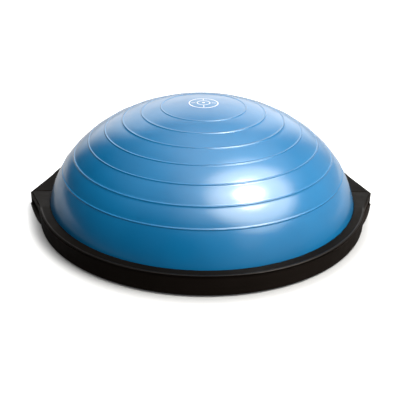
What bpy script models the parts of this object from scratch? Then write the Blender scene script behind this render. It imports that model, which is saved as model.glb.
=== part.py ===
"""Balance dome trainer: an inflated, ribbed rubber dome clamped to a moulded platform.

Frame: metres, +Z up. The origin is on the floor under the centre of the platform.
+X runs out through one carrying ear and +Y towards the inflation valve.
"""
import math

import bmesh
import bpy
from mathutils import Matrix, Vector

MM = 0.001
COLLECTION_NAME = "balance_dome_trainer"
CUTTER_COLLECTION_NAME = "cutters"

# ---- Driving dimensions, in millimetres ----
ROUND_STEPS = 48            # facets round every large turned piece
WELD = 0.00001              # merge distance, in metres
FIT_GAP = 0.3               # clearance between pieces that touch

# Platform
PLATFORM_RADIUS = 318.0
PLATFORM_BOTTOM = 3.0
DECK_THICKNESS = 5.0
WALL_THICKNESS = 3.5
WALL_TOP = 34.5
BEAD_SEAT_INNER = 296.5
BEAD_SEAT_OUTER = 306.0
BEAD_SEAT_TOP = 18.7

# Carrying ears, one on each side along X
EAR_TIP = 341.0             # x of the corner
EAR_ROOT = (308.8, 77.0)    # where the straight side meets the round wall
EAR_FOOT_TIP = 343.5
EAR_FOOT_SIDE = ((334.5, 25.0), (326.0, 46.5), (316.5, 68.0), (307.0, 85.0))
EAR_FOOT_TOP = 6.5
EAR_RIM_WIDTH = 2.2         # rim left standing round the ring's ear plate
EAR_SHELF_TOP = 25.5        # shelf that carries the ring's ear plate
EAR_RIM_DIP = 30.5          # rim height at the corner
POCKET_ROOF = 21.5          # pocket roof height at the corner
POCKET_ROOF_RISE = 4.5      # how much higher the roof is where the ear ends
POCKET_RIB_HALF = 6.0       # half width of the rib between the two pockets

# Dome: the upper part of an ellipsoid
DOME_RADIUS = 302.0
DOME_HEIGHT = 223.0
DOME_CENTRE_Z = -5.0
DOME_WALL = 4.0
RIB_COUNT = 7
FIRST_RIB_ARC = 80.4        # distance over the surface from crown to first rib
RIB_PITCH = 37.8
RIB_HEIGHT = 1.2
RIB_HALF_WIDTH = 2.0
BEAD_INNER = 296.0
BEAD_OUTER = 304.5
BEAD_BOTTOM = 19.0
BEAD_TOP = 25.0

# Bladder floor
FLOOR_THICKNESS = 4.0
FLOOR_RIM_TOP = 24.0

# Clamp ring
RING_OUTER = 317.0
RING_TOP = 37.9
RING_LIP_TOP = 38.9
RING_SKIRT_OUTER = 305.6
RING_BORE_LOW = 300.6
RING_BORE_HIGH = 297.2
RING_DIP = 32.8             # top height at the middle of each ear
RING_SPLIT_HALF_GAP = 0.25

# Clamp screws
SCREW_COUNT = 16
SCREW_CIRCLE = 310.2
SCREW_RADIUS = 1.75
SCREW_TIP = 28.0
SCREW_HEAD_RADIUS = 3.8
SCREW_HEAD_BOTTOM = 3.4
SCREW_HEAD_TOP = 5.7
COUNTERBORE_RADIUS = 4.2
COUNTERBORE_TOP = 6.0
PLATFORM_BOSS_RADIUS = 4.6
RING_BOSS_RADIUS = 3.2

# Feet
FOOT_COUNT = 8
FOOT_CIRCLE = 284.0
FOOT_RADIUS = 12.0
FOOT_STEM_RADIUS = 3.0
FOOT_STEM_TOP = 7.6

# Inflation valve
VALVE_ANGLE = math.radians(15.5)   # ellipse angle of the valve above the dome's centre
VALVE_BARREL_RADIUS = 5.0
VALVE_BARREL_DEPTH = 11.0
VALVE_FLANGE_RADIUS = 9.0
VALVE_FLANGE_THICKNESS = 2.0
PLUG_STEM_RADIUS = 2.7
PLUG_STEM_DEPTH = 12.0
PLUG_HEAD_RADIUS = 6.0
PLUG_HEAD_THICKNESS = 2.2
PLUG_KNOB_RADIUS = 2.4
PLUG_KNOB_HEIGHT = 4.0


# ---- Scene and materials ----
def clear_scene():
    for scene_object in list(bpy.data.objects):
        bpy.data.objects.remove(scene_object, do_unlink=True)


def new_collection(name):
    collection = bpy.data.collections.new(name)
    bpy.context.scene.collection.children.link(collection)
    return collection


def new_material(name, colour, roughness, metallic=0.0):
    material = bpy.data.materials.new(name)
    material.use_nodes = True
    shader = material.node_tree.nodes["Principled BSDF"]
    shader.inputs["Base Color"].default_value = (*colour, 1.0)
    shader.inputs["Roughness"].default_value = roughness
    shader.inputs["Metallic"].default_value = metallic
    return material


clear_scene()
PARTS = new_collection(COLLECTION_NAME)
CUTTERS = new_collection(CUTTER_COLLECTION_NAME)


# ---- Shape helpers ----
def add_part(name, mesh, material):
    """Link a sub-part to the model's collection with its material."""
    part = bpy.data.objects.new(name, mesh)
    PARTS.objects.link(part)
    part.data.materials.append(material)
    return part


def add_helper(name, mesh):
    """Link a cutter, or a shape to be joined, to the cutters' collection."""
    helper = bpy.data.objects.new(name, mesh)
    CUTTERS.objects.link(helper)
    helper.hide_render = True
    helper.display_type = "WIRE"
    return helper


def profile_mesh(name, points, closed):
    """A chain of edges in the XZ plane, from (radius, height) points in millimetres."""
    mesh = bpy.data.meshes.new(name)
    vertices = [(radius * MM, 0.0, height * MM) for radius, height in points]
    edges = [(i, i + 1) for i in range(len(points) - 1)]
    if closed:
        edges.append((len(points) - 1, 0))
    mesh.from_pydata(vertices, edges, [])
    return mesh


def turn(turned_object, steps):
    """Spin the object's profile once about its own Z axis."""
    screw = turned_object.modifiers.new("turn", "SCREW")
    screw.axis = "Z"
    screw.angle = math.tau
    screw.steps = steps
    screw.render_steps = steps
    screw.use_merge_vertices = True
    screw.merge_threshold = WELD
    screw.use_smooth_shade = True


def cylinders_mesh(name, centres, radius, bottom, top, sides):
    """Upright cylinders at the given (x, y) centres, as one mesh."""
    shape = bmesh.new()
    for x, y in centres:
        place = Matrix.Translation(Vector((x, y, (bottom + top) / 2)) * MM)
        bmesh.ops.create_cone(
            shape, cap_ends=True, segments=sides, radius1=radius * MM, radius2=radius * MM,
            depth=(top - bottom) * MM, matrix=place)
    mesh = bpy.data.meshes.new(name)
    shape.to_mesh(mesh)
    shape.free()
    return mesh


def plate_mesh(name, outline, thickness, place):
    """A flat outline, filled and extruded about its own plane, moved by a matrix."""
    curve = bpy.data.curves.new(name, "CURVE")
    curve.dimensions = "2D"
    curve.fill_mode = "BOTH"
    curve.extrude = thickness * MM / 2
    spline = curve.splines.new("POLY")
    spline.points.add(len(outline) - 1)
    for point, (x, y) in zip(spline.points, outline):
        point.co = (x * MM, y * MM, 0.0, 1.0)
    spline.use_cyclic_u = True
    outline_object = bpy.data.objects.new(name, curve)
    CUTTERS.objects.link(outline_object)
    evaluated = outline_object.evaluated_get(bpy.context.evaluated_depsgraph_get())
    mesh = bpy.data.meshes.new_from_object(evaluated)
    bpy.data.objects.remove(outline_object, do_unlink=True)
    shape = bmesh.new()
    shape.from_mesh(mesh)
    bmesh.ops.remove_doubles(shape, verts=shape.verts, dist=WELD)
    bmesh.ops.recalc_face_normals(shape, faces=shape.faces)
    bmesh.ops.transform(shape, matrix=place, verts=shape.verts)
    shape.to_mesh(mesh)
    shape.free()
    return mesh


def box_mesh(name, low, high):
    """A box between two corners, in millimetres."""
    shape = bmesh.new()
    size = Vector(high) - Vector(low)
    place = Matrix.Translation((Vector(high) + Vector(low)) / 2 * MM)
    place @= Matrix.Diagonal((*(size * MM), 1.0))
    bmesh.ops.create_cube(shape, size=1.0, matrix=place)
    mesh = bpy.data.meshes.new(name)
    shape.to_mesh(mesh)
    shape.free()
    return mesh


def combine(target, helper, operation):
    boolean = target.modifiers.new(helper.name, "BOOLEAN")
    boolean.operation = operation
    boolean.object = helper
    boolean.solver = "EXACT"


def ring_of_points(count, radius, start):
    """Evenly spaced (x, y) points on a circle; start is the first angle in degrees."""
    angles = [math.radians(start + 360.0 * i / count) for i in range(count)]
    return [(radius * math.cos(angle), radius * math.sin(angle)) for angle in angles]


def flat_place(height, side=1):
    """Put a plan outline at a height; side -1 turns it to the -X ear."""
    turned = Matrix.Rotation(0.0 if side > 0 else math.pi, 4, "Z")
    return Matrix.Translation((0.0, 0.0, height * MM)) @ turned


def cross_place(x, side=1):
    """Stand an outline drawn as (y, z) up across the X axis, centred at x."""
    turned = Matrix.Rotation(0.0 if side > 0 else math.pi, 4, "Z")
    upright = Matrix(((0, 0, 1, x * MM), (1, 0, 0, 0), (0, 1, 0, 0), (0, 0, 0, 1)))
    return turned @ upright


# ---- Dome ellipse ----
def dome_point(angle, offset=0.0):
    """(radius, height) on the dome at an ellipse angle, offset along the outward normal."""
    normal = Vector((math.cos(angle) / DOME_RADIUS, math.sin(angle) / DOME_HEIGHT)).normalized()
    radius = DOME_RADIUS * math.cos(angle) + offset * normal.x
    height = DOME_CENTRE_Z + DOME_HEIGHT * math.sin(angle) + offset * normal.y
    return radius, height


def angle_at_arc(arc):
    """Ellipse angle at a distance over the surface from the crown."""
    step = math.radians(0.01)
    angle = math.pi / 2
    travelled = 0.0
    while travelled < arc:
        speed = math.hypot(DOME_RADIUS * math.sin(angle), DOME_HEIGHT * math.cos(angle))
        travelled += speed * step
        angle -= step
    return angle


def angle_at_height(height):
    return math.asin((height - DOME_CENTRE_Z) / DOME_HEIGHT)


def dome_outer_profile():
    """From the crown over the ribs, down to where the wall meets its bead."""
    points = [(0.0, DOME_CENTRE_Z + DOME_HEIGHT)]
    points += [dome_point(angle_at_arc(FIRST_RIB_ARC * part)) for part in (0.35, 0.7)]
    for rib in range(RIB_COUNT):
        arc = FIRST_RIB_ARC + rib * RIB_PITCH
        points.append(dome_point(angle_at_arc(arc - RIB_HALF_WIDTH)))
        points.append(dome_point(angle_at_arc(arc), RIB_HEIGHT))
        points.append(dome_point(angle_at_arc(arc + RIB_HALF_WIDTH)))
        points.append(dome_point(angle_at_arc(arc + RIB_PITCH / 2)))
    last = angle_at_arc(FIRST_RIB_ARC + (RIB_COUNT - 0.5) * RIB_PITCH)
    bottom = angle_at_height(BEAD_TOP)
    points += [dome_point(last + (bottom - last) * part) for part in (0.4, 0.75, 1.0)]
    return points


def dome_inner_profile():
    """The inside of the wall, from the bead up to the crown."""
    low = angle_at_height(BEAD_TOP + 2.0)
    steps = 8
    angles = [low + (math.pi / 2 - low) * i / steps for i in range(steps)]
    return [dome_point(angle, -DOME_WALL) for angle in angles] + [
        (0.0, DOME_CENTRE_Z + DOME_HEIGHT - DOME_WALL)]


# ---- Carrying ears ----
def ear_side_direction():
    return (Vector(EAR_ROOT) - Vector((EAR_TIP, 0.0))).normalized()


def ear_outline(inset, inner_x):
    """Plan of an ear with straight sides, its sides moved inwards by the inset."""
    along = ear_side_direction()
    tip = EAR_TIP - inset / along.y
    reach = EAR_ROOT[1] - inset * 0.4
    root_x = tip + along.x / along.y * reach
    return [(inner_x, -reach), (root_x, -reach), (tip, 0.0), (root_x, reach), (inner_x, reach)]


def ear_foot_outline():
    """Plan of an ear's lowest plate, which stands out a little past the rest."""
    back = [(EAR_FOOT_TIP, 0.0), *EAR_FOOT_SIDE, (290.0, EAR_FOOT_SIDE[-1][1])]
    front = [(x, -y) for x, y in reversed(back[1:])]
    return front + back


def ring_ear_outline():
    """Plan of the ring's ear plate; its inner edge is an arc inside the ring's skirt."""
    outer = ear_outline(EAR_RIM_WIDTH + FIT_GAP, 0.0)[1:4]
    reach = math.degrees(math.atan2(outer[2][1], outer[2][0]))
    steps = 10
    arc_angles = [math.radians(reach - 2 * reach * i / steps) for i in range(steps + 1)]
    radius = (RING_SKIRT_OUTER + RING_BORE_LOW) / 2
    return outer + [(radius * math.cos(angle), radius * math.sin(angle)) for angle in arc_angles]


def valley_outline(dip, shoulder):
    """(y, z) outline of what is cut away above a shallow V that crosses each ear."""
    reach = EAR_ROOT[1]
    ceiling = 60.0
    outer = reach + 40.0
    outer_z = dip + (shoulder - dip) * outer / reach
    return [(0.0, dip), (outer, outer_z), (outer, ceiling), (-outer, ceiling), (-outer, outer_z)]


def pocket_outline(direction):
    """(y, z) outline of a finger pocket on one side of an ear's rib."""
    far = EAR_ROOT[1] + 8.0
    slope = POCKET_ROOF_RISE / EAR_ROOT[1]
    near_roof = POCKET_ROOF + POCKET_RIB_HALF * slope
    far_roof = POCKET_ROOF + far * slope
    corners = [(POCKET_RIB_HALF, EAR_FOOT_TOP), (far, EAR_FOOT_TOP), (far, far_roof),
               (POCKET_RIB_HALF, near_roof)]
    return [(direction * y, z) for y, z in corners]


def ear_side_name(side):
    return "right" if side > 0 else "left"


def valley_cutter(name, dip, shoulder, side):
    cut_start, cut_end = 285.0, 360.0
    middle = (cut_start + cut_end) / 2
    mesh = plate_mesh(name, valley_outline(dip, shoulder), cut_end - cut_start,
                      cross_place(middle, side))
    return add_helper(name, mesh)


# ---- Platform ----
def platform_profile():
    deck_top = PLATFORM_BOTTOM + DECK_THICKNESS
    wall_inner = PLATFORM_RADIUS - WALL_THICKNESS
    edge = 1.5
    return [
        (0.0, deck_top), (BEAD_SEAT_INNER, deck_top), (BEAD_SEAT_INNER, BEAD_SEAT_TOP),
        (BEAD_SEAT_OUTER, BEAD_SEAT_TOP), (BEAD_SEAT_OUTER, deck_top), (wall_inner, deck_top),
        (wall_inner, WALL_TOP), (PLATFORM_RADIUS, WALL_TOP),
        (PLATFORM_RADIUS, PLATFORM_BOTTOM + edge), (PLATFORM_RADIUS - edge, PLATFORM_BOTTOM),
        (0.0, PLATFORM_BOTTOM)]


def add_platform_ear(platform, side):
    word = ear_side_name(side)
    inner_x = 290.0
    foot_thickness = EAR_FOOT_TOP - PLATFORM_BOTTOM
    foot = add_helper(f"platform_ear_foot_{word}", plate_mesh(
        f"platform_ear_foot_{word}", ear_foot_outline(), foot_thickness,
        flat_place(PLATFORM_BOTTOM + foot_thickness / 2, side)))
    block_bottom = PLATFORM_BOTTOM + 1.0
    block = add_helper(f"platform_ear_block_{word}", plate_mesh(
        f"platform_ear_block_{word}", ear_outline(0.0, inner_x), WALL_TOP - block_bottom,
        flat_place((WALL_TOP + block_bottom) / 2, side)))
    # The ear must not fill the space inside the platform's wall.
    core = add_helper(f"platform_ear_core_{word}", cylinders_mesh(
        f"platform_ear_core_{word}", [(0.0, 0.0)], PLATFORM_RADIUS - WALL_THICKNESS / 2,
        PLATFORM_BOTTOM + DECK_THICKNESS / 2, 60.0, 2 * ROUND_STEPS))
    combine(block, core, "DIFFERENCE")
    combine(platform, foot, "UNION")
    combine(platform, block, "UNION")


def cut_platform_ear(platform, side):
    word = ear_side_name(side)
    ceiling = 50.0
    seat = add_helper(f"ring_seat_{word}", plate_mesh(
        f"ring_seat_{word}", ear_outline(EAR_RIM_WIDTH, 280.0), ceiling - EAR_SHELF_TOP,
        flat_place((ceiling + EAR_SHELF_TOP) / 2, side)))
    combine(platform, seat, "DIFFERENCE")
    combine(platform, valley_cutter(f"platform_valley_{word}", EAR_RIM_DIP, WALL_TOP, side),
            "DIFFERENCE")
    wall_core = add_helper(f"pocket_wall_{word}", cylinders_mesh(
        f"pocket_wall_{word}", [(0.0, 0.0)], PLATFORM_RADIUS + 0.6, -10.0, 60.0,
        2 * ROUND_STEPS))
    for direction, face in ((1, "back"), (-1, "front")):
        name = f"finger_pocket_{word}_{face}"
        inner_x, outer_x = 300.0, 360.0
        pocket = add_helper(name, plate_mesh(
            name, pocket_outline(direction * side), outer_x - inner_x,
            cross_place((inner_x + outer_x) / 2, side)))
        combine(pocket, wall_core, "DIFFERENCE")
        combine(platform, pocket, "DIFFERENCE")


def screw_centres():
    return ring_of_points(SCREW_COUNT, SCREW_CIRCLE, 180.0 / SCREW_COUNT)


def foot_centres():
    return ring_of_points(FOOT_COUNT, FOOT_CIRCLE, 180.0 / FOOT_COUNT)


def make_platform(material):
    platform = add_part("platform_tray", profile_mesh("platform_tray", platform_profile(), False),
                        material)
    turn(platform, ROUND_STEPS)
    for side in (1, -1):
        add_platform_ear(platform, side)
    bosses = add_helper("platform_bosses", cylinders_mesh(
        "platform_bosses", screw_centres(), PLATFORM_BOSS_RADIUS,
        PLATFORM_BOTTOM + DECK_THICKNESS / 2, BEAD_SEAT_TOP - 0.4, 12))
    combine(platform, bosses, "UNION")
    for side in (1, -1):
        cut_platform_ear(platform, side)
    shank_holes = add_helper("platform_shank_holes", cylinders_mesh(
        "platform_shank_holes", screw_centres(), SCREW_RADIUS + FIT_GAP, 0.0, 20.0, 10))
    combine(platform, shank_holes, "DIFFERENCE")
    counterbores = add_helper("platform_counterbores", cylinders_mesh(
        "platform_counterbores", screw_centres(), COUNTERBORE_RADIUS, 0.0, COUNTERBORE_TOP, 12))
    combine(platform, counterbores, "DIFFERENCE")
    foot_holes = add_helper("platform_foot_holes", cylinders_mesh(
        "platform_foot_holes", foot_centres(), FOOT_STEM_RADIUS + FIT_GAP, 0.0, 12.0, 10))
    combine(platform, foot_holes, "DIFFERENCE")
    return platform


# ---- Clamp ring, in two halves that meet at the ears ----
def ring_profile():
    skirt_bottom = BEAD_TOP + FIT_GAP
    flange_bottom = WALL_TOP + FIT_GAP
    chamfer = 1.2
    return [
        (RING_BORE_HIGH, RING_TOP - chamfer), (RING_BORE_HIGH + chamfer, RING_TOP),
        (RING_OUTER - 5.5, RING_TOP + 0.2), (RING_OUTER - 3.0, RING_LIP_TOP),
        (RING_OUTER - 1.0, RING_LIP_TOP - 0.5), (RING_OUTER, RING_LIP_TOP - 1.8),
        (RING_OUTER, flange_bottom), (RING_SKIRT_OUTER, flange_bottom),
        (RING_SKIRT_OUTER, skirt_bottom), (RING_BORE_LOW, skirt_bottom)]


def make_ring_half(face, direction, material):
    """direction is the sign of y on the half that is kept."""
    name = f"clamp_ring_{face}"
    ring = add_part(name, profile_mesh(name, ring_profile(), True), material)
    turn(ring, ROUND_STEPS)
    for side in (1, -1):
        ear_name = f"{name}_ear_{ear_side_name(side)}"
        bottom = EAR_SHELF_TOP + FIT_GAP
        ear = add_helper(ear_name, plate_mesh(
            ear_name, ring_ear_outline(), RING_TOP - bottom,
            flat_place((RING_TOP + bottom) / 2, side)))
        combine(ring, ear, "UNION")
    bosses = add_helper(f"{name}_bosses", cylinders_mesh(
        f"{name}_bosses", screw_centres(), RING_BOSS_RADIUS, BEAD_SEAT_TOP, WALL_TOP + 1.5, 10))
    combine(ring, bosses, "UNION")
    for side in (1, -1):
        combine(ring, valley_cutter(f"{name}_valley_{ear_side_name(side)}", RING_DIP, RING_TOP,
                                    side), "DIFFERENCE")
    holes = add_helper(f"{name}_holes", cylinders_mesh(
        f"{name}_holes", screw_centres(), SCREW_RADIUS + FIT_GAP, 10.0, SCREW_TIP + 0.6, 10))
    combine(ring, holes, "DIFFERENCE")
    far = 400.0
    low_y, high_y = sorted((direction * RING_SPLIT_HALF_GAP, -direction * far))
    other_half = add_helper(f"{name}_other_half", box_mesh(
        f"{name}_other_half", (-far, low_y, -10.0), (far, high_y, 80.0)))
    combine(ring, other_half, "DIFFERENCE")
    return ring


# ---- Inflated dome and its floor ----
def valve_frame():
    """Place of the valve: local +Z points out of the dome, the origin is on its surface."""
    radius, height = dome_point(VALVE_ANGLE)
    normal_y, normal_z = (Vector(dome_point(VALVE_ANGLE, 1.0)) - Vector((radius, height)))
    outward = Vector((0.0, normal_y, normal_z)).normalized()
    side = Vector((1.0, 0.0, 0.0))
    upward = outward.cross(side)
    place = Matrix((side, upward, outward)).transposed().to_4x4()
    place.translation = Vector((0.0, radius, height)) * MM
    return place


def make_dome(material):
    bead = [(BEAD_OUTER, BEAD_TOP), (BEAD_OUTER, BEAD_BOTTOM), (BEAD_INNER, BEAD_BOTTOM),
            (BEAD_INNER, BEAD_TOP)]
    profile = dome_outer_profile() + bead + dome_inner_profile()
    dome = add_part("dome_bladder", profile_mesh("dome_bladder", profile, False), material)
    turn(dome, ROUND_STEPS)
    hole = add_helper("valve_hole", cylinders_mesh(
        "valve_hole", [(0.0, 0.0)], VALVE_BARREL_RADIUS + FIT_GAP, -20.0, 20.0, 16))
    hole.matrix_world = valve_frame()
    combine(dome, hole, "DIFFERENCE")
    return dome


def make_floor(material):
    bottom = PLATFORM_BOTTOM + DECK_THICKNESS + FIT_GAP
    top = bottom + FLOOR_THICKNESS
    outer = BEAD_INNER - FIT_GAP
    corner = 4.2
    profile = [
        (0.0, top), (outer - FLOOR_THICKNESS - corner, top),
        (outer - FLOOR_THICKNESS, top + corner), (outer - FLOOR_THICKNESS, FLOOR_RIM_TOP),
        (outer, FLOOR_RIM_TOP), (outer, bottom + corner), (outer - corner, bottom),
        (0.0, bottom)]
    floor = add_part("bladder_floor", profile_mesh("bladder_floor", profile, False), material)
    turn(floor, ROUND_STEPS)
    return floor


# ---- Valve ----
def make_valve_seat(material):
    bore = PLUG_STEM_RADIUS + FIT_GAP
    under = 0.5
    top = under + VALVE_FLANGE_THICKNESS
    profile = [
        (bore, top), (VALVE_FLANGE_RADIUS - 0.6, top), (VALVE_FLANGE_RADIUS, top - 0.6),
        (VALVE_FLANGE_RADIUS, under), (VALVE_BARREL_RADIUS, under),
        (VALVE_BARREL_RADIUS, -VALVE_BARREL_DEPTH), (bore, -VALVE_BARREL_DEPTH)]
    seat = add_part("valve_seat", profile_mesh("valve_seat", profile, True), material)
    turn(seat, 16)
    seat.matrix_world = valve_frame()
    return seat


def make_valve_plug(material):
    under = 0.5 + VALVE_FLANGE_THICKNESS + FIT_GAP
    head_top = under + PLUG_HEAD_THICKNESS
    knob_top = head_top + PLUG_KNOB_HEIGHT
    profile = [
        (0.0, knob_top), (PLUG_KNOB_RADIUS - 0.8, knob_top), (PLUG_KNOB_RADIUS, knob_top - 0.8),
        (PLUG_KNOB_RADIUS, head_top), (PLUG_HEAD_RADIUS, head_top), (PLUG_HEAD_RADIUS, under),
        (PLUG_STEM_RADIUS, under), (PLUG_STEM_RADIUS, 1.5 - PLUG_STEM_DEPTH),
        (PLUG_STEM_RADIUS - 1.2, -PLUG_STEM_DEPTH), (0.0, -PLUG_STEM_DEPTH)]
    plug = add_part("valve_plug", profile_mesh("valve_plug", profile, False), material)
    turn(plug, 16)
    plug.matrix_world = valve_frame()
    return plug


# ---- Screws and feet ----
def make_screws(material):
    profile = [
        (0.0, SCREW_TIP), (SCREW_RADIUS - 0.7, SCREW_TIP), (SCREW_RADIUS, SCREW_TIP - 2.0),
        (SCREW_RADIUS, SCREW_HEAD_TOP), (SCREW_HEAD_RADIUS, SCREW_HEAD_TOP),
        (SCREW_HEAD_RADIUS - 0.8, SCREW_HEAD_BOTTOM), (0.0, SCREW_HEAD_BOTTOM)]
    mesh = profile_mesh("clamp_screw", profile, False)
    mesh.materials.append(material)
    for number, (x, y) in enumerate(screw_centres(), start=1):
        screw = bpy.data.objects.new(f"clamp_screw_{number:02d}", mesh)
        PARTS.objects.link(screw)
        screw.location = Vector((x, y, 0.0)) * MM
        turn(screw, 10)


def make_feet(material):
    top = PLATFORM_BOTTOM - FIT_GAP
    profile = [
        (0.0, FOOT_STEM_TOP), (FOOT_STEM_RADIUS, FOOT_STEM_TOP), (FOOT_STEM_RADIUS, top),
        (FOOT_RADIUS, top), (FOOT_RADIUS, 0.6), (FOOT_RADIUS - 0.6, 0.0), (0.0, 0.0)]
    mesh = profile_mesh("rubber_foot", profile, False)
    mesh.materials.append(material)
    for number, (x, y) in enumerate(foot_centres(), start=1):
        foot = bpy.data.objects.new(f"rubber_foot_{number}", mesh)
        PARTS.objects.link(foot)
        foot.location = Vector((x, y, 0.0)) * MM
        turn(foot, 12)


# ---- Assembly ----
def build():
    platform_plastic = new_material("platform_plastic", (0.011, 0.008, 0.007), 0.45)
    ring_plastic = new_material("ring_plastic", (0.014, 0.012, 0.011), 0.38)
    dome_vinyl = new_material("dome_vinyl", (0.021, 0.231, 0.527), 0.28)
    floor_vinyl = new_material("floor_vinyl", (0.015, 0.17, 0.40), 0.45)
    seat_vinyl = new_material("seat_vinyl", (0.012, 0.12, 0.30), 0.40)
    plug_plastic = new_material("plug_plastic", (0.80, 0.80, 0.78), 0.35)
    screw_steel = new_material("screw_steel", (0.55, 0.55, 0.57), 0.35, 1.0)
    foot_rubber = new_material("foot_rubber", (0.012, 0.012, 0.013), 0.75)
    make_platform(platform_plastic)
    make_ring_half("front", -1, ring_plastic)
    make_ring_half("back", 1, ring_plastic)
    make_dome(dome_vinyl)
    make_floor(floor_vinyl)
    make_valve_seat(seat_vinyl)
    make_valve_plug(plug_plastic)
    make_screws(screw_steel)
    make_feet(foot_rubber)


build()
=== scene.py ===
"""Looks of the balance dome trainer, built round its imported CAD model. Metres, +Z up."""
import math

import bmesh
import bpy
import numpy as np
from mathutils import Matrix, Vector


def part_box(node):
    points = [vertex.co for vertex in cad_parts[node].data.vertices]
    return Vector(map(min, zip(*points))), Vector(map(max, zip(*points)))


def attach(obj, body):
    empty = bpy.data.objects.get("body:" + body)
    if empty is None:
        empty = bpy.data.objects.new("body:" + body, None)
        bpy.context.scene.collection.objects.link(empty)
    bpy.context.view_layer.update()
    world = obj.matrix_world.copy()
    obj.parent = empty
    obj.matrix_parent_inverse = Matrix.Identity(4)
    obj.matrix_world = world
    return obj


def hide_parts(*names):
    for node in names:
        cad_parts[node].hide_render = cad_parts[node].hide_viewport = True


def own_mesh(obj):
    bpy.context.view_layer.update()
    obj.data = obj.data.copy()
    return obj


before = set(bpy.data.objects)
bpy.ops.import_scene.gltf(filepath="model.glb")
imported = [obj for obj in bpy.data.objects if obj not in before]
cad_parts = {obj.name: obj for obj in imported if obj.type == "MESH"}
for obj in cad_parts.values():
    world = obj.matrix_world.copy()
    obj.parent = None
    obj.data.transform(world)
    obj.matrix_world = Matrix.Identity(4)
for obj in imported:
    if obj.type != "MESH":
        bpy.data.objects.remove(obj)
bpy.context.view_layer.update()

MM = 0.001
FIT_GAP = 0.3 * MM

# ---- Sizes read from the frame ----
platform_low, platform_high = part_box("platform_tray")
ring_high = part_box("clamp_ring_back")[1]
dome_low, dome_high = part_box("dome_bladder")
floor_low, floor_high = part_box("bladder_floor")
EAR_FOOT_TIP = platform_high.x
PLATFORM_RADIUS = platform_high.y
PLATFORM_BOTTOM = platform_low.z
WALL_TOP = platform_high.z
RING_OUTER = ring_high.y
RING_LIP_TOP = ring_high.z
CROWN = dome_high.z
BEAD_OUTER = dome_high.y

# ---- Dome ----
DOME_RADIUS = 302.0 * MM
DOME_CENTRE_Z = -5.0 * MM
DOME_HEIGHT = CROWN - DOME_CENTRE_Z
DOME_WALL = 4.0 * MM
RIB_COUNT = 7
FIRST_RIB_ARC = 80.4 * MM
RIB_PITCH = 37.8 * MM
RIB_HEIGHT = 0.85 * MM
RIB_HALF_WIDTH = 1.7 * MM
RIB_SHARPNESS = 1.4
PANEL_SWELL = 0.4 * MM
BEAD_INNER = 296.0 * MM
BEAD_BOTTOM = dome_low.z
BEAD_TOP = BEAD_BOTTOM + 6.0 * MM
PANEL_POINTS = 130
RIB_POINTS = 11
INNER_SKIN_POINTS = 40

# ---- Platform ----
DECK_TOP = PLATFORM_BOTTOM + 5.0 * MM
WALL_INNER = PLATFORM_RADIUS - 3.5 * MM
WALL_LEDGE = 0.3 * MM
WALL_LEDGE_DROP = 0.6 * MM
BEAD_SEAT_INNER = 296.5 * MM
BEAD_SEAT_OUTER = 306.0 * MM
BEAD_SEAT_TOP = BEAD_BOTTOM - FIT_GAP
EAR_TIP = 341.0 * MM
EAR_ROOT = Vector((308.8, 77.0)) * MM
EAR_FOOT_SIDE = [Vector(corner) * MM for corner in
                 ((334.5, 25.0), (326.0, 46.5), (316.5, 68.0), (307.0, 85.0))]
EAR_FOOT_TOP = 6.5 * MM
EAR_ZONE_HALF_ANGLE = math.radians(24.0)
EAR_SHELF_TOP = 25.5 * MM
EAR_SHELF_FULL = 2.3 * MM
EAR_RIM_WIDTH = 2.2 * MM
EAR_RIM_DIP = 30.5 * MM
POCKET_WALL = PLATFORM_RADIUS + 0.5 * MM
POCKET_ROOF = 21.5 * MM
POCKET_ROOF_RISE = 4.5 * MM
POCKET_RIB_HALF = 6.0 * MM
POCKET_RIB_FACE = EAR_TIP - 2.6 * MM
COUNTERBORE_RADIUS = 4.2 * MM
COUNTERBORE_TOP = 6.0 * MM

# ---- Clamp ring ----
RING_TOP = RING_LIP_TOP - 1.0 * MM
RING_DIP = 32.8 * MM
RING_SKIRT_OUTER = 305.6 * MM
RING_BORE_LOW = 300.6 * MM
RING_BORE_HIGH = 297.2 * MM
RING_BORE_ROUND = 1.2 * MM
RING_PLATE_RAMP = 3.0 * MM
LIP_WIDTH = 5.0 * MM
# For each point: millimetres out from the lip's start, then its rise as a share of the lip's
# height or, where that is negative, in millimetres.
LIP_PROFILE = ((1.2, 0.55), (2.2, 1.0), (3.2, 1.0), (4.0, 0.6), (4.6, -0.1), (4.9, -0.6),
               (5.0, -1.1))
RING_SPLIT_HALF_GAP = 0.25 * MM
RING_SPLIT_BEVEL = 1.1 * MM
SEAM_HEIGHT = 1.7 * MM
SEAM_DEPTH = 1.8 * MM
# How far past an ear's root, along Y, the groove under the lip ends and has its full height.
SEAM_GONE = 3.0 * MM
SEAM_FULL = 18.0 * MM

# ---- Valve ----
VALVE_ANGLE = math.radians(15.5)
VALVE_BARREL_RADIUS = 5.0 * MM
VALVE_FLANGE_TOP = 2.5 * MM
VALVE_HOLE_REACH = 20.0 * MM
PLUG_STEM_RADIUS = 2.7 * MM

# ---- Crown mark: a plain centring target ----
MARK_DOT = 2.8 * MM
MARK_RING = 12.0 * MM
MARK_RING_HALF_WIDTH = 0.8 * MM
MARK_OUTER = 27.0 * MM
MARK_OUTER_HALF_WIDTH = 1.0 * MM
MARK_TICK_HALF_WIDTH = 0.8 * MM
MARK_TICK_CLEARANCE = 3.5 * MM
MARK_RIM_OFFSET = 3.2 * MM
MARK_RIM_HALF_WIDTH = 1.4 * MM
MARK_SOFTNESS = 0.25 * MM

# ---- How finely the meshes are made ----
DOME_STEPS = 288
FLOOR_STEPS = 192
PLATFORM_STEPS = 720
RING_HALF_STEPS = 361
SMALL_STEPS = 48
SCREW_STEPS = 32
ARC_TABLE_STEPS = 4000
MERGE_DISTANCE = 1e-6

# ---- Where most values of a noise lie ----
NOISE_LOW, NOISE_HIGH = 0.3, 0.7


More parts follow.
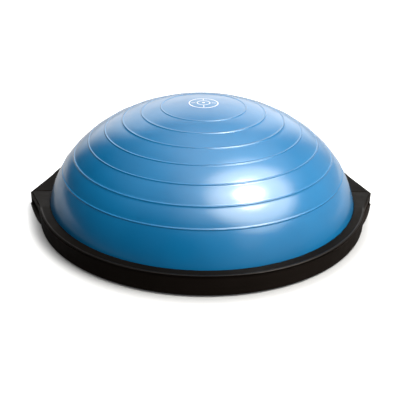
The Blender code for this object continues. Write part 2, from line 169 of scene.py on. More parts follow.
# ---- Mesh helpers ----
def rounded_chain(points, radii, closed=False, arc_steps=4):
    """A chain of (radius, height) points with rounded corners and a fixed number of points."""
    count = len(points)
    chain = []
    for i, (point, radius) in enumerate(zip(points, radii)):
        corner = Vector(point)
        is_end = not closed and i in (0, count - 1)
        if radius == 0 or is_end:
            chain.append(corner)
            continue
        before = Vector(points[i - 1]) - corner
        after = Vector(points[(i + 1) % count]) - corner
        reach = min(radius, 0.45 * before.length, 0.45 * after.length)
        start = corner + before.normalized() * reach
        end = corner + after.normalized() * reach
        for step in range(arc_steps + 1):
            t = step / arc_steps
            chain.append((1 - t) ** 2 * start + 2 * t * (1 - t) * corner + t * t * end)
    return chain


def swept_mesh(name, chains, angles, closed_profile, full_turn=True):
    """One profile chain for each angle round Z, joined into a closed skin."""
    rings, points = len(chains), len(chains[0])
    cosines = np.cos(angles)[:, None]
    sines = np.sin(angles)[:, None]
    flat = np.array([[tuple(p) for p in chain] for chain in chains])
    coordinates = np.stack((flat[:, :, 0] * cosines, flat[:, :, 0] * sines, flat[:, :, 1]),
                           axis=2)
    last_ring = rings if full_turn else rings - 1
    last_point = points if closed_profile else points - 1
    faces = []
    for i in range(last_ring):
        near, far = i * points, ((i + 1) % rings) * points
        for j in range(last_point):
            k = (j + 1) % points
            faces.append((near + j, near + k, far + k, far + j))
    if not full_turn:
        faces.append(tuple(range(points)))
        faces.append(tuple(range((rings - 1) * points, rings * points)))
    mesh = bpy.data.meshes.new(name)
    mesh.from_pydata(coordinates.reshape(-1, 3).tolist(), [], faces)
    skin = bmesh.new()
    skin.from_mesh(mesh)
    bmesh.ops.remove_doubles(skin, verts=skin.verts, dist=MERGE_DISTANCE)
    bmesh.ops.dissolve_degenerate(skin, edges=skin.edges, dist=MERGE_DISTANCE)
    bmesh.ops.recalc_face_normals(skin, faces=skin.faces)
    skin.to_mesh(mesh)
    skin.free()
    return mesh


def turned_mesh(name, chain, closed_profile, steps):
    """The same profile chain all the way round Z."""
    angles = np.arange(steps) * math.tau / steps
    return swept_mesh(name, [chain] * steps, angles, closed_profile)


def cylinders_mesh(name, centres, radius, bottom, top, sides=32):
    skin = bmesh.new()
    for x, y in centres:
        place = Matrix.Translation((x, y, (bottom + top) / 2))
        bmesh.ops.create_cone(skin, cap_ends=True, segments=sides, radius1=radius, radius2=radius,
                              depth=top - bottom, matrix=place)
    mesh = bpy.data.meshes.new(name)
    skin.to_mesh(mesh)
    skin.free()
    return mesh


def add_object(name, mesh, material=None, smooth_angle=35.0):
    made = bpy.data.objects.new(name, mesh)
    bpy.context.scene.collection.objects.link(made)
    if material:
        mesh.materials.clear()
        mesh.materials.append(material)
    mesh.shade_smooth()
    mesh.set_sharp_from_angle(angle=math.radians(smooth_angle))
    return made


def cut(target, cutter_mesh, place=None):
    """Cuts the cutter's shape out of the target's own mesh."""
    cutter = bpy.data.objects.new("cutter", cutter_mesh)
    bpy.context.scene.collection.objects.link(cutter)
    if place is not None:
        cutter.matrix_world = place
    boolean = target.modifiers.new("cut", "BOOLEAN")
    boolean.operation = "DIFFERENCE"
    boolean.object = cutter
    boolean.solver = "EXACT"
    bpy.context.view_layer.update()
    evaluated = target.evaluated_get(bpy.context.evaluated_depsgraph_get())
    mesh = bpy.data.meshes.new_from_object(evaluated)
    target.modifiers.clear()
    target.data = mesh
    bpy.data.objects.remove(cutter, do_unlink=True)


def smooth_step(value, low, high):
    """0 below low, 1 above high, and a soft rise between."""
    t = min(1.0, max(0.0, (value - low) / (high - low)))
    return t * t * (3 - 2 * t)


# ---- Node helpers ----
class Nodes:
    """Short ways to make and join the nodes of one material or world."""

    def __init__(self, tree):
        self.tree = tree

    def add(self, kind, **settings):
        node = self.tree.nodes.new(kind)
        for key, value in settings.items():
            setattr(node, key, value)
        return node

    def put(self, socket, value):
        if isinstance(value, bpy.types.NodeSocket):
            self.tree.links.new(value, socket)
        else:
            socket.default_value = value

    def fill(self, node, values):
        """Sets or joins inputs of a node by their names."""
        for name, value in values.items():
            self.put(node.inputs[name], value)

    def place(self, space="Object"):
        return self.add("ShaderNodeTexCoord").outputs[space]

    def axes(self, place):
        node = self.add("ShaderNodeSeparateXYZ")
        self.put(node.inputs[0], place)
        return node.outputs

    def maths(self, operation, a, b=0.0):
        node = self.add("ShaderNodeMath", operation=operation)
        self.put(node.inputs[0], a)
        self.put(node.inputs[1], b)
        return node.outputs[0]

    def off_centre(self, x, y):
        """Distance from the Z axis."""
        return self.maths("SQRT", self.maths("ADD", self.maths("MULTIPLY", x, x),
                                             self.maths("MULTIPLY", y, y)))

    def ranged(self, value, low, high, to_low=0.0, to_high=1.0):
        """Moves a value softly from to_low to to_high as it goes from low to high."""
        node = self.add("ShaderNodeMapRange", interpolation_type="SMOOTHSTEP")
        for socket, number in zip(node.inputs[:5], (value, low, high, to_low, to_high)):
            self.put(socket, number)
        return node.outputs[0]

    def spread(self, noise, to_low=0.0, to_high=1.0):
        """Stretches the middle of a noise, where most of its values lie, over a range."""
        return self.ranged(noise, NOISE_LOW, NOISE_HIGH, to_low, to_high)

    def noise(self, coordinates, scale, detail=2.0, roughness=0.5):
        node = self.add("ShaderNodeTexNoise")
        self.fill(node, {"Vector": coordinates, "Scale": scale, "Detail": detail,
                         "Roughness": roughness})
        return node.outputs["Fac"]

    def mixed(self, share, first, second):
        node = self.add("ShaderNodeMix", data_type="RGBA")
        self.put(node.inputs["Factor"], share)
        self.put(node.inputs[6], first)
        self.put(node.inputs[7], second)
        return node.outputs[2]

    def bump(self, height, distance):
        node = self.add("ShaderNodeBump")
        self.fill(node, {"Strength": 1.0, "Distance": distance, "Height": height})
        return node.outputs["Normal"]


def new_material(name):
    material = bpy.data.materials.new(name)
    material.use_nodes = True
    shader = material.node_tree.nodes["Principled BSDF"]
    return material, shader, Nodes(material.node_tree)


def colour(red, green, blue):
    return (red, green, blue, 1.0)


def moulded_plastic(name, dark, light, roughness, specular, grain, grain_depth):
    """Matt moulded plastic: fine spark grain, faint flow marks and rubbed patches."""
    material, shader, nodes = new_material(name)
    place = nodes.place()
    cloud = nodes.noise(place, 9.0, detail=4.0)
    rub = nodes.noise(place, 38.0, detail=5.0, roughness=0.65)
    fine = nodes.noise(place, grain)
    nodes.fill(shader, {
        "Base Color": nodes.mixed(nodes.spread(cloud), colour(*dark), colour(*light)),
        "Roughness": nodes.ranged(rub, 0.35, 0.7, roughness + 0.05, roughness - 0.06),
        "Specular IOR Level": specular,
        "Specular Tint": colour(1.0, 0.83, 0.74),
        "Normal": nodes.bump(fine, grain_depth)})
    return material, shader, nodes


def platform_grain():
    """Warm black plastic with a fine spark grain."""
    return moulded_plastic(
        "platform_spark_grain", dark=(0.0088, 0.0061, 0.0046), light=(0.0118, 0.0086, 0.0068),
        roughness=0.52, specular=0.10, grain=1600.0, grain_depth=0.05 * MM)[0]


def ring_satin():
    """The platform's plastic, darker and smoother, with a polished lip except at the ears."""
    material, shader, nodes = moulded_plastic(
        "ring_satin", dark=(0.0042, 0.0034, 0.0027), light=(0.0066, 0.0055, 0.0045),
        roughness=0.46, specular=0.03, grain=2200.0, grain_depth=0.02 * MM)
    x, y, _ = nodes.axes(nodes.place())
    lip = nodes.ranged(nodes.off_centre(x, y), RING_OUTER - 4.4 * MM, RING_OUTER - 3.4 * MM)
    off_ear = nodes.ranged(nodes.maths("ABSOLUTE", y), EAR_ROOT.y - 4.0 * MM,
                           EAR_ROOT.y + 14.0 * MM)
    lip = nodes.maths("MULTIPLY", lip, off_ear)
    nodes.fill(shader, {
        "Specular IOR Level": nodes.ranged(lip, 0.0, 1.0, 0.03, 0.12),
        "Coat Weight": nodes.maths("MULTIPLY", lip, 0.14),
        "Coat Roughness": 0.28})
    return material


def crown_mark(nodes, place):
    """The target's print and the darker rim round it, each 1 where it is and 0 elsewhere."""
    x, y, z = nodes.axes(place)
    away = nodes.off_centre(x, y)

    def inside(value, limit):
        return nodes.ranged(value, limit - MARK_SOFTNESS, limit + MARK_SOFTNESS, 1.0, 0.0)

    def band(centre, half_width):
        off = nodes.maths("ABSOLUTE", nodes.maths("SUBTRACT", away, centre))
        return inside(off, half_width)

    narrow = nodes.maths("MINIMUM", nodes.maths("ABSOLUTE", x), nodes.maths("ABSOLUTE", y))
    between = band((MARK_RING + MARK_OUTER) / 2,
                   (MARK_OUTER - MARK_RING) / 2 - MARK_TICK_CLEARANCE)
    ticks = nodes.maths("MULTIPLY", inside(narrow, MARK_TICK_HALF_WIDTH), between)
    mark = inside(away, MARK_DOT)
    for part in (band(MARK_RING, MARK_RING_HALF_WIDTH), band(MARK_OUTER, MARK_OUTER_HALF_WIDTH),
                 ticks):
        mark = nodes.maths("MAXIMUM", mark, part)
    rim = band(MARK_OUTER + MARK_RIM_OFFSET, MARK_RIM_HALF_WIDTH)
    upper = nodes.ranged(z, 0.45 * CROWN, 0.5 * CROWN)
    return nodes.maths("MULTIPLY", mark, upper), nodes.maths("MULTIPLY", rim, upper)


def dome_vinyl():
    """Glossy blue vinyl with faint mottling, a slightly smeared gloss and a printed mark."""
    material, shader, nodes = new_material("dome_vinyl_glossy")
    place = nodes.place()
    cloud = nodes.noise(place, 7.0, detail=3.0)
    smear = nodes.noise(place, 24.0, detail=5.0, roughness=0.6)
    mark, rim = crown_mark(nodes, place)
    base = nodes.mixed(nodes.spread(cloud), colour(0.0015, 0.160, 0.378),
                       colour(0.003, 0.186, 0.430))
    base = nodes.mixed(nodes.maths("MULTIPLY", rim, 0.55), base, colour(0.008, 0.14, 0.40))
    base = nodes.mixed(nodes.maths("MULTIPLY", mark, 0.85), base, colour(0.86, 0.90, 0.93))
    nodes.fill(shader, {
        "Base Color": base,
        "Roughness": nodes.spread(smear, 0.38, 0.46),
        "Specular IOR Level": 0.15,
        "Coat Weight": 1.0,
        "Coat Roughness": nodes.spread(smear, 0.15, 0.21),
        "Coat IOR": 1.7})
    return material


def plain_moulding(name, base, roughness, specular=0.4):
    """Rubber or vinyl in one colour, with dusty patches and a fine grain."""
    material, shader, nodes = new_material(name)
    place = nodes.place()
    cloud = nodes.noise(place, 60.0, detail=4.0)
    fine = nodes.noise(place, 1500.0)
    dusty = tuple(min(1.0, part * 1.35 + 0.004) for part in base)
    nodes.fill(shader, {
        "Base Color": nodes.mixed(nodes.ranged(cloud, 0.35, 0.75), colour(*base),
                                  colour(*dusty)),
        "Roughness": nodes.spread(cloud, roughness - 0.04, roughness + 0.06),
        "Specular IOR Level": specular,
        "Normal": nodes.bump(fine, 0.03 * MM)})
    return material


def zinc_steel():
    """Bright zinc plating with a fine spotted finish."""
    material, shader, nodes = new_material("screw_zinc")
    spots = nodes.noise(nodes.place(), 900.0, detail=3.0)
    nodes.fill(shader, {
        "Base Color": nodes.mixed(spots, colour(0.50, 0.50, 0.52), colour(0.66, 0.65, 0.62)),
        "Roughness": nodes.spread(spots, 0.26, 0.42),
        "Metallic": 1.0})
    return material


# ---- Dome ----
def dome_point(angle, offset=0.0):
    """(radius, height) on the dome at an ellipse angle, offset along the outward normal."""
    normal = Vector((math.cos(angle) / DOME_RADIUS, math.sin(angle) / DOME_HEIGHT)).normalized()
    radius = DOME_RADIUS * math.cos(angle) + offset * normal.x
    height = DOME_CENTRE_Z + DOME_HEIGHT * math.sin(angle) + offset * normal.y
    return Vector((max(radius, 0.0), height))


def arc_table():
    """Ellipse angles, and the distance over the surface from the crown to each."""
    angles = np.linspace(math.pi / 2, 0.0, ARC_TABLE_STEPS)
    speed = np.hypot(DOME_RADIUS * np.sin(angles), DOME_HEIGHT * np.cos(angles))
    steps = (speed[1:] + speed[:-1]) / 2 * -np.diff(angles)
    return angles, np.concatenate(([0.0], np.cumsum(steps)))


ARC_ANGLES, ARC_LENGTHS = arc_table()


def angle_at_arc(arc):
    return float(np.interp(arc, ARC_LENGTHS, ARC_ANGLES))


def angle_at_height(height):
    return math.asin((height - DOME_CENTRE_Z) / DOME_HEIGHT)


def surface_offset(arc):
    """How far the skin stands off the ellipse: raised ribs with slightly swollen panels between."""
    place = (arc - FIRST_RIB_ARC) / RIB_PITCH
    nearest = min(RIB_COUNT - 1, max(0, round(place)))
    off_rib = abs(arc - FIRST_RIB_ARC - nearest * RIB_PITCH)
    rib = 0.0
    if off_rib < RIB_HALF_WIDTH:
        rib = RIB_HEIGHT * math.cos(math.pi / 2 * off_rib / RIB_HALF_WIDTH) ** RIB_SHARPNESS
    swell = 0.0
    if 0.0 < place < RIB_COUNT - 1:
        share = place % 1.0
        swell = PANEL_SWELL * 4 * share * (1 - share)
    return rib + swell


def dome_chain():
    """The dome's section: outer skin from the crown, the clamped bead, then the inner skin."""
    bottom_arc = float(np.interp(-angle_at_height(BEAD_TOP), -ARC_ANGLES, ARC_LENGTHS))
    arcs = list(np.linspace(0.0, bottom_arc, PANEL_POINTS))
    for rib in range(RIB_COUNT):
        centre = FIRST_RIB_ARC + rib * RIB_PITCH
        arcs = [arc for arc in arcs if abs(arc - centre) > 1.2 * RIB_HALF_WIDTH]
        arcs += list(centre + RIB_HALF_WIDTH * np.linspace(-1.0, 1.0, RIB_POINTS))
    chain = [dome_point(angle_at_arc(arc), surface_offset(arc)) for arc in sorted(arcs)]
    bead = [(chain[-1].x, BEAD_TOP), (BEAD_OUTER, BEAD_TOP), (BEAD_OUTER, BEAD_BOTTOM),
            (BEAD_INNER, BEAD_BOTTOM), (BEAD_INNER, BEAD_TOP)]
    chain += rounded_chain(bead, (0, 1.5 * MM, 1.5 * MM, 1.5 * MM, 0))[1:]
    low = angle_at_height(BEAD_TOP + 2.0 * MM)
    chain += [dome_point(angle, -DOME_WALL)
              for angle in np.linspace(low, math.pi / 2, INNER_SKIN_POINTS)]
    return chain


def valve_place():
    """Local +Z points out of the dome at the valve, and the origin is on the skin."""
    spot = dome_point(VALVE_ANGLE)
    normal = dome_point(VALVE_ANGLE, 1.0) - spot
    outward = Vector((0.0, normal.x, normal.y)).normalized()
    side = Vector((1.0, 0.0, 0.0))
    place = Matrix((side, outward.cross(side), outward)).transposed().to_4x4()
    place.translation = Vector((0.0, spot.x, spot.y))
    return place


def press_with_dome(piece):
    """Gives a piece its own copy of its mesh."""
    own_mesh(piece)


def make_dome(material):
    dome = add_object("dome_skin", turned_mesh("dome_skin", dome_chain(), False, DOME_STEPS),
                      material, smooth_angle=60.0)
    hole = cylinders_mesh("valve_hole", [(0.0, 0.0)], VALVE_BARREL_RADIUS + FIT_GAP,
                          -VALVE_HOLE_REACH, VALVE_HOLE_REACH)
    cut(dome, hole, valve_place())
    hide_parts("dome_bladder")
    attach(dome, "base")
    press_with_dome(dome)


def make_bladder_floor(material):
    """The flat membrane that closes the dome underneath, with its edge turned up."""
    outer, thick, corner = floor_high.x, 4.0 * MM, 4.2 * MM
    bottom = floor_low.z
    top = bottom + thick
    points = [(0.0, top), (outer - thick, top), (outer - thick, floor_high.z),
              (outer, floor_high.z), (outer, bottom), (0.0, bottom)]
    radii = (0, corner, 1.5 * MM, 1.5 * MM, corner + thick, 0)
    floor = add_object("bladder_floor_skin", turned_mesh(
        "bladder_floor_skin", rounded_chain(points, radii, arc_steps=6), False, FLOOR_STEPS),
        material)
    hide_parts("bladder_floor")
    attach(floor, "base")


# ---- Outlines of the platform and the ring ----
EAR_NORMAL = Vector((EAR_ROOT.y, EAR_TIP - EAR_ROOT.x)).normalized()
EAR_FOOT_CORNERS = [Vector((EAR_FOOT_TIP, 0.0)), *EAR_FOOT_SIDE]


def in_ear(angle):
    """True at either ear and over a little of the round wall beside it."""
    return abs(math.cos(angle)) > math.cos(EAR_ZONE_HALF_ANGLE)


def edge_distance(angle, corners):
    """Distance from the centre to a chain of corners, along a direction; 0 past its end."""
    across, along = abs(math.cos(angle)), abs(math.sin(angle))
    for start, end in zip(corners, corners[1:]):
        if along * end.x <= across * end.y:
            side = end - start
            return (start.x * side.y - start.y * side.x) / (across * side.y - along * side.x)
    return 0.0


def outline(angle, circle, inset):
    """The round outline, or an ear's straight side moved inwards by the inset."""
    shift = EAR_NORMAL * inset
    tip = Vector((EAR_TIP - inset / EAR_NORMAL.x, 0.0))
    past_root = EAR_ROOT + (EAR_ROOT - Vector((EAR_TIP, 0.0))) * 0.3 - shift
    return max(circle, edge_distance(angle, [tip, past_root]))


def off_axis(radius, angle):
    """Distance from the line through both ears."""
    return radius * abs(math.sin(angle))


def valley(dip, shoulder, off_centre):
    """Height of the shallow V across an ear, which rises to the shoulder where the ear ends."""
    return dip + (shoulder - dip) * off_centre / EAR_ROOT.y


def sweep_angles(steps, extra, start=0.0, end=math.tau, full=True):
    """Even angles, and pairs close beside those where the section changes at once."""
    even = np.linspace(start, end, steps, endpoint=not full)
    close = math.radians(0.01)
    added = [angle + side * close for angle in extra for side in (-1, 1)
             if start < angle + side * close < end]
    return np.array(sorted(set(even.tolist() + added)))


# ---- Platform ----
def platform_chain(angle):
    """The platform's section: underside, foot, pocket, wall and rim, then back over the deck."""
    top = outline(angle, PLATFORM_RADIUS, 0.0)
    off = off_axis(top, angle)
    in_pocket = in_ear(angle) and off > POCKET_RIB_HALF and top > POCKET_WALL
    foot = max(top, edge_distance(angle, EAR_FOOT_CORNERS))
    back = POCKET_WALL if in_pocket else top
    roof = POCKET_ROOF + POCKET_ROOF_RISE * off / EAR_ROOT.y
    rim = min(WALL_TOP, valley(EAR_RIM_DIP, WALL_TOP, off)) if in_ear(angle) else WALL_TOP
    rim_inner = outline(angle, WALL_INNER + WALL_LEDGE, EAR_RIM_WIDTH)
    depth = smooth_step(rim_inner - WALL_INNER, WALL_LEDGE, EAR_SHELF_FULL)
    shelf = (WALL_TOP - WALL_LEDGE_DROP) * (1 - depth) + EAR_SHELF_TOP * depth
    points = [
        (0.0, PLATFORM_BOTTOM), (foot - 6.0 * MM, PLATFORM_BOTTOM), (foot, PLATFORM_BOTTOM),
        (foot, EAR_FOOT_TOP), (back, EAR_FOOT_TOP), (back, roof), (top, roof),
        (top, rim), (rim_inner, rim), (rim_inner, shelf), (WALL_INNER, shelf),
        (WALL_INNER, DECK_TOP),
        (BEAD_SEAT_OUTER, DECK_TOP), (BEAD_SEAT_OUTER, BEAD_SEAT_TOP),
        (BEAD_SEAT_INNER, BEAD_SEAT_TOP), (BEAD_SEAT_INNER, DECK_TOP), (0.0, DECK_TOP)]
    big, small = 1.5 * MM, 0.7 * MM
    radii = (0, 0, big, small, big, big, small, small, small, 0, 0, small, small, small, small,
             small, 0)
    return rounded_chain(points, radii, arc_steps=3)


def ear_breaks():
    """Angles where a pocket's end walls stand beside the rib."""
    half = math.asin(POCKET_RIB_HALF / POCKET_RIB_FACE)
    return [half, math.pi - half, math.pi + half, math.tau - half]


def node_centres(prefix):
    """(name, x, y) for each CAD node whose name starts with the prefix."""
    centres = []
    for name in sorted(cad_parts):
        if name.startswith(prefix):
            low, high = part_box(name)
            centres.append((name, (low.x + high.x) / 2, (low.y + high.y) / 2))
    return centres


def make_platform(material):
    angles = sweep_angles(PLATFORM_STEPS, ear_breaks())
    chains = [platform_chain(angle) for angle in angles]
    platform = add_object("platform_shell", swept_mesh("platform_shell", chains, angles, False),
                          material, smooth_angle=30.0)
    spots = [(x, y) for _, x, y in node_centres("clamp_screw_")]
    cut(platform, cylinders_mesh("counterbores", spots, COUNTERBORE_RADIUS, 0.0,
                                 COUNTERBORE_TOP))
    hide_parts("platform_tray")
    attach(platform, "base")


# ---- Clamp ring ----
def ring_chain(angle):
    """Closed section of the ring, with a rounded lip and a dark groove under it.

    Over an ear it runs out as a plate with a dipped top, which is bevelled where the two halves
    meet. The groove fades out before the ears.
    """
    edge = outline(angle, RING_OUTER, EAR_RIM_WIDTH + FIT_GAP)
    over_ear = smooth_step(edge - RING_OUTER, 0.0, RING_PLATE_RAMP)
    underside = (WALL_TOP + FIT_GAP) * (1 - over_ear) + (EAR_SHELF_TOP + FIT_GAP) * over_ear
    lip = (RING_LIP_TOP - RING_TOP) * (1 - over_ear)

    def top_at(radius, height):
        if not in_ear(angle):
            return height
        off = off_axis(radius, angle)
        bevel = max(0.0, RING_SPLIT_HALF_GAP + RING_SPLIT_BEVEL - off)
        return min(height, valley(RING_DIP, RING_TOP, off)) - bevel

    inner, turn = RING_BORE_HIGH, RING_BORE_ROUND
    lip_start = edge - LIP_WIDTH
    chain = [Vector((inner, top_at(inner, RING_TOP) - turn)),
             Vector((inner + 0.35 * MM, top_at(inner, RING_TOP) - 0.4 * MM)),
             Vector((inner + turn, top_at(inner, RING_TOP)))]
    flat_steps = 6
    for step in range(1, flat_steps + 1):
        radius = inner + turn + (lip_start - inner - turn) * step / flat_steps
        chain.append(Vector((radius, top_at(radius, RING_TOP))))
    for out, rise in LIP_PROFILE:
        radius = lip_start + out * MM
        drop = min(0.0, rise) * MM + (0.0 if rise > 0 else 0.3 * lip)
        height = RING_TOP + (lip * rise if rise > 0 else 0.0)
        chain.append(Vector((radius, top_at(radius, height) + drop)))
    past_ear = off_axis(RING_OUTER, angle) - EAR_ROOT.y
    groove = SEAM_HEIGHT * smooth_step(past_ear, SEAM_GONE, SEAM_FULL)
    chain += [Vector((edge, underside + groove)),
              Vector((edge - SEAM_DEPTH, underside + groove)),
              Vector((edge - SEAM_DEPTH, underside)), Vector((RING_SKIRT_OUTER, underside)),
              Vector((RING_SKIRT_OUTER, BEAD_TOP + FIT_GAP)),
              Vector((RING_BORE_LOW, BEAD_TOP + FIT_GAP))]
    return chain


def make_ring_half(face, start, material):
    """Half the ring, from one ear's middle to the other's."""
    gap = RING_SPLIT_HALF_GAP / RING_OUTER
    bevel = (RING_SPLIT_HALF_GAP + RING_SPLIT_BEVEL) / RING_OUTER
    angles = sweep_angles(RING_HALF_STEPS, [start + bevel, start + math.pi - bevel],
                          start + gap, start + math.pi - gap, full=False)
    chains = [ring_chain(angle) for angle in angles]
    name = f"clamp_ring_{face}"
    ring = add_object(f"{name}_shell", swept_mesh(
        f"{name}_shell", chains, angles, True, full_turn=False), material, smooth_angle=40.0)
    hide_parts(name)
    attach(ring, "base")


# ---- Valve ----
def make_valve_seat(material):
    """The soft grommet in the dome's wall that the plug pushes into."""
    bore = PLUG_STEM_RADIUS + FIT_GAP
    under, top = 0.5 * MM, VALVE_FLANGE_TOP
    flange, barrel, depth = 9.0 * MM, VALVE_BARREL_RADIUS, 11.0 * MM
    points = [(bore, top), (7.0 * MM, top), (flange, top - 1.0 * MM), (flange, under),
              (barrel, under), (barrel, -depth), (bore, -depth)]
    radii = [value * MM for value in (0.5, 1.0, 0.6, 0.2, 0.3, 0.4, 0.4)]
    seat = add_object("valve_seat_moulding", turned_mesh(
        "valve_seat_moulding", rounded_chain(points, radii, closed=True), True, SMALL_STEPS),
        material)
    seat.matrix_world = valve_place()
    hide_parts("valve_seat")
    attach(seat, "base")
    press_with_dome(seat)


def make_valve_plug(material):
    """The push-in plug: a long stem, a flat head and a waisted knob to pull it by."""
    head_bottom = VALVE_FLANGE_TOP + FIT_GAP
    head_top = head_bottom + 2.2 * MM
    knob_top = head_top + 4.0 * MM
    stem, tip = PLUG_STEM_RADIUS, 12.0 * MM
    points = [(0.0, knob_top), (2.4 * MM, knob_top), (1.7 * MM, head_top + 1.4 * MM),
              (1.9 * MM, head_top), (6.0 * MM, head_top), (6.0 * MM, head_bottom),
              (stem, head_bottom), (stem, 2.5 * MM - tip), (stem - 1.3 * MM, -tip), (0.0, -tip)]
    radii = [value * MM for value in (0, 0.8, 0.8, 0.5, 0.8, 0.5, 0.3, 0.8, 0.5, 0)]
    plug = add_object("valve_plug_moulding", turned_mesh(
        "valve_plug_moulding", rounded_chain(points, radii), False, SMALL_STEPS), material)
    plug.matrix_world = valve_place()
    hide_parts("valve_plug")
    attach(plug, "plug")
    press_with_dome(plug)


# ---- Screws and feet ----
def make_screws(material):
    """Screws with a rounded head and a cross recess, turned to several angles."""
    low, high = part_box("clamp_screw_01")
    bottom, tip = low.z, high.z
    head, shank, head_top = 3.8 * MM, 1.75 * MM, bottom + 2.3 * MM
    points = [(0.0, tip), (0.6 * MM, tip), (shank, tip - 2.5 * MM), (shank, head_top),
              (head, head_top), (head, bottom + 0.9 * MM), (2.4 * MM, bottom), (0.0, bottom)]
    radii = [value * MM for value in (0, 0.3, 0.6, 0.2, 0.3, 0.9, 0.9, 0)]
    mesh = turned_mesh("clamp_screw_fine", rounded_chain(points, radii), False,
                       SCREW_STEPS)
    pattern = add_object("screw_pattern", mesh, material)
    slot_length, slot_width, slot_height = 3.6 * MM, 0.8 * MM, 2.0 * MM
    recess = bmesh.new()
    for turn in (0.0, math.pi / 2):
        place = Matrix.Translation((0, 0, bottom + 0.5 * MM)) @ Matrix.Rotation(turn, 4, "Z")
        place @= Matrix.Diagonal((slot_length, slot_width, slot_height, 1.0))
        bmesh.ops.create_cube(recess, size=1.0, matrix=place)
        cross = bpy.data.meshes.new("cross")
        recess.to_mesh(cross)
        recess.clear()
        cut(pattern, cross)
    recess.free()
    for name, x, y in node_centres("clamp_screw_"):
        screw = bpy.data.objects.new(f"{name}_fine", pattern.data)
        bpy.context.scene.collection.objects.link(screw)
        screw.location = (x, y, 0.0)
        screw.rotation_euler.z = math.atan2(y, x) * 3.0
        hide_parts(name)
        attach(screw, "base")
    bpy.data.objects.remove(pattern, do_unlink=True)


def make_feet(material):
    """Round rubber feet with a push-in stem and three grooves in the sole."""
    low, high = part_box("rubber_foot_1")
    radius, stem = (high.x - low.x) / 2, 3.0 * MM
    top = PLATFORM_BOTTOM - FIT_GAP
    groove = 0.5 * MM
    points = [(0.0, high.z), (stem, high.z), (stem, top), (radius, top), (radius, 0.0)]
    radii = [0, 0.8 * MM, 0.3 * MM, 0.4 * MM, 0.6 * MM]
    for outer in (9.5 * MM, 6.5 * MM, 3.5 * MM):
        points += [(outer, 0.0), (outer - 0.4 * MM, groove), (outer - 1.0 * MM, groove),
                   (outer - 1.4 * MM, 0.0)]
        radii += [0.1 * MM] * 4
    points.append((0.0, 0.0))
    radii.append(0)
    mesh = turned_mesh("rubber_foot_fine", rounded_chain(points, radii, arc_steps=2), False,
                       SMALL_STEPS)
    for name, x, y in node_centres("rubber_foot_"):
        foot = add_object(f"{name}_fine", mesh, material)
        foot.location = (x, y, 0.0)
        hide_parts(name)
        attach(foot, "base")


# ---- Studio ----
LIGHT_AIM = Vector((0.08, -0.21, 0.14))
BACKDROP_SIDES = (math.radians(22), math.radians(40))
BACKDROP_TOP = (math.radians(30), math.radians(46))
BACKDROP_STRENGTH = 1.35
STUDIO_FLOOR_RADIUS = 14.0
# Radii over which the floor's painted shadow fades into its full glow.
PAINTED_SHADOW_FADE_START, PAINTED_SHADOW_FADE_END = 0.312, 0.372
UNDER_LIGHT_INNER, UNDER_LIGHT_OUTER = 0.295, 0.305


def direction(azimuth, elevation):
    """Unit vector; azimuth is from +Y towards +X, in degrees, and elevation above level."""
    a, e = math.radians(azimuth), math.radians(elevation)
    return Vector((math.sin(a) * math.cos(e), math.cos(a) * math.cos(e), math.sin(e)))


def add_softbox(name, azimuth, elevation, distance, radius, radiance, sheen_only=False):
    """A round soft light; radiance is how bright its face looks."""
    light = bpy.data.lights.new(name, "AREA")
    light.shape = "DISK"
    light.size = 2 * radius
    light.energy = radiance * math.pi * math.pi * radius ** 2
    light.color = (1.0, 0.98, 0.93)
    lamp = bpy.data.objects.new(name, light)
    bpy.context.scene.collection.objects.link(lamp)
    towards = direction(azimuth, elevation)
    lamp.location = LIGHT_AIM + towards * distance
    lamp.rotation_mode = "QUATERNION"
    lamp.rotation_quaternion = towards.to_track_quat("Z", "Y")
    lamp.visible_camera = False
    lamp.visible_diffuse = not sheen_only


def make_world():
    """White to the camera; to the object, a bright backdrop, a right side and a top."""
    world = bpy.data.worlds.new("studio")
    bpy.context.scene.world = world
    world.use_nodes = True
    tree = world.node_tree
    tree.nodes.clear()
    nodes = Nodes(tree)
    x, y, z = nodes.axes(nodes.place("Generated"))
    sideways = nodes.maths("ABSOLUTE", nodes.maths("ARCTAN2", x, y))
    height = nodes.maths("ARCSINE", z)
    backdrop = nodes.maths("MULTIPLY", nodes.ranged(sideways, *BACKDROP_SIDES, 1.0, 0.0),
                           nodes.ranged(height, *BACKDROP_TOP, 1.0, 0.0))
    right = nodes.ranged(x, -0.2, 0.9, 0.015, 0.45)
    above = nodes.maths("MULTIPLY", nodes.ranged(z, 0.5, 0.98, 0.0, 1.5),
                        nodes.ranged(x, -0.45, 0.0, 0.3, 1.0))
    strength = nodes.maths("ADD", nodes.maths("ADD", right, above),
                           nodes.maths("MULTIPLY", backdrop, BACKDROP_STRENGTH))
    to_camera = nodes.add("ShaderNodeLightPath").outputs["Is Camera Ray"]
    shown = nodes.add("ShaderNodeMix", data_type="FLOAT")
    nodes.put(shown.inputs["Factor"], to_camera)
    nodes.put(shown.inputs[2], strength)
    nodes.put(shown.inputs[3], 1.0)
    background = nodes.add("ShaderNodeBackground")
    nodes.fill(background, {"Color": colour(1.0, 1.0, 1.0), "Strength": shown.outputs[0]})
    nodes.put(nodes.add("ShaderNodeOutputWorld").inputs["Surface"], background.outputs[0])


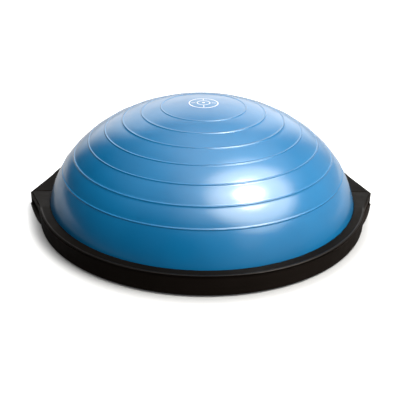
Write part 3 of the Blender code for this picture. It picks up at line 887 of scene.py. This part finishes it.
def make_floor_plane():
    """A floor that the camera sees as white, with a soft shadow painted close round the object: its
    glow is dimmed there, on top of the shadow the lights cast.

    It is see-through from below, and light passes through it under the platform, so the
    platform's underside can be seen.
    """
    bpy.ops.mesh.primitive_circle_add(vertices=128, radius=STUDIO_FLOOR_RADIUS,
                                      fill_type="NGON")
    plane = bpy.context.object
    plane.name = "studio_floor"
    material, shader, nodes = new_material("studio_floor")
    to_camera = nodes.add("ShaderNodeLightPath").outputs["Is Camera Ray"]
    from_below = nodes.add("ShaderNodeNewGeometry").outputs["Backfacing"]
    x, y, _ = nodes.axes(nodes.place())
    away = nodes.off_centre(x, y)
    bounce = nodes.mixed(nodes.ranged(y, -0.15, 0.45), colour(0.10, 0.10, 0.10),
                         colour(0.60, 0.60, 0.60))
    # Painted shadow: the glow the camera sees is dimmed close round the object.
    glow_with_painted_shadow = nodes.ranged(away, PAINTED_SHADOW_FADE_START, PAINTED_SHADOW_FADE_END, 0.05, 0.95)
    under = nodes.maths("MULTIPLY", nodes.maths("SUBTRACT", 1.0, to_camera),
                        nodes.ranged(away, UNDER_LIGHT_INNER, UNDER_LIGHT_OUTER, 1.0, 0.0))
    nodes.fill(shader, {
        "Base Color": nodes.mixed(to_camera, bounce, colour(0.50, 0.50, 0.50)),
        "Roughness": 0.9,
        "Specular IOR Level": 0.1,
        "Emission Color": colour(1.0, 1.0, 1.0),
        "Emission Strength": nodes.maths("MULTIPLY", to_camera, glow_with_painted_shadow),
        "Alpha": nodes.maths("SUBTRACT", 1.0, nodes.maths("MAXIMUM", from_below, under))})
    plane.data.materials.append(material)


def make_camera():
    """The camera that was fitted to the object's outline; angles in degrees, lens in mm."""
    distance, azimuth, elevation = 1.321, 181.84, 27.18
    heading, tilt, roll = -1.655, 26.65, 0.91
    camera_data = bpy.data.cameras.new("camera")
    camera_data.sensor_width = 36.0
    camera_data.lens = 58.74
    camera = bpy.data.objects.new("camera", camera_data)
    bpy.context.scene.collection.objects.link(camera)
    turn = Matrix.Rotation(math.radians(heading), 4, "Z")
    turn @= Matrix.Rotation(math.radians(90.0 - tilt), 4, "X")
    turn @= Matrix.Rotation(math.radians(roll), 4, "Z")
    camera.matrix_world = Matrix.Translation(direction(azimuth, elevation) * distance) @ turn
    bpy.context.scene.camera = camera


def make_studio():
    make_world()
    make_floor_plane()
    add_softbox("key_core", azimuth=118.0, elevation=59.0, distance=2.2, radius=0.40,
                radiance=17.0)
    add_softbox("key_halo", azimuth=118.0, elevation=56.0, distance=2.3, radius=1.10,
                radiance=2.8)
    add_softbox("key_sheen", azimuth=119.0, elevation=55.0, distance=2.4, radius=1.45,
                radiance=2.8, sheen_only=True)
    add_softbox("low_fill", azimuth=146.0, elevation=24.0, distance=2.4, radius=0.5,
                radiance=0.35)
    bpy.context.scene.view_settings.view_transform = "Standard"


# ---- Assembly ----
def build():
    ring_plastic = ring_satin()
    make_dome(dome_vinyl())
    make_bladder_floor(plain_moulding("floor_vinyl_satin", (0.010, 0.16, 0.40), roughness=0.45))
    make_platform(platform_grain())
    make_ring_half("back", 0.0, ring_plastic)
    make_ring_half("front", math.pi, ring_plastic)
    make_valve_seat(plain_moulding("valve_seat_vinyl", (0.008, 0.12, 0.32), roughness=0.38))
    make_valve_plug(plain_moulding("valve_plug_white", (0.72, 0.72, 0.69), roughness=0.34))
    make_screws(zinc_steel())
    make_feet(plain_moulding("foot_rubber_dull", (0.010, 0.010, 0.011), roughness=0.74,
                             specular=0.25))
    make_camera()
    make_studio()


build()
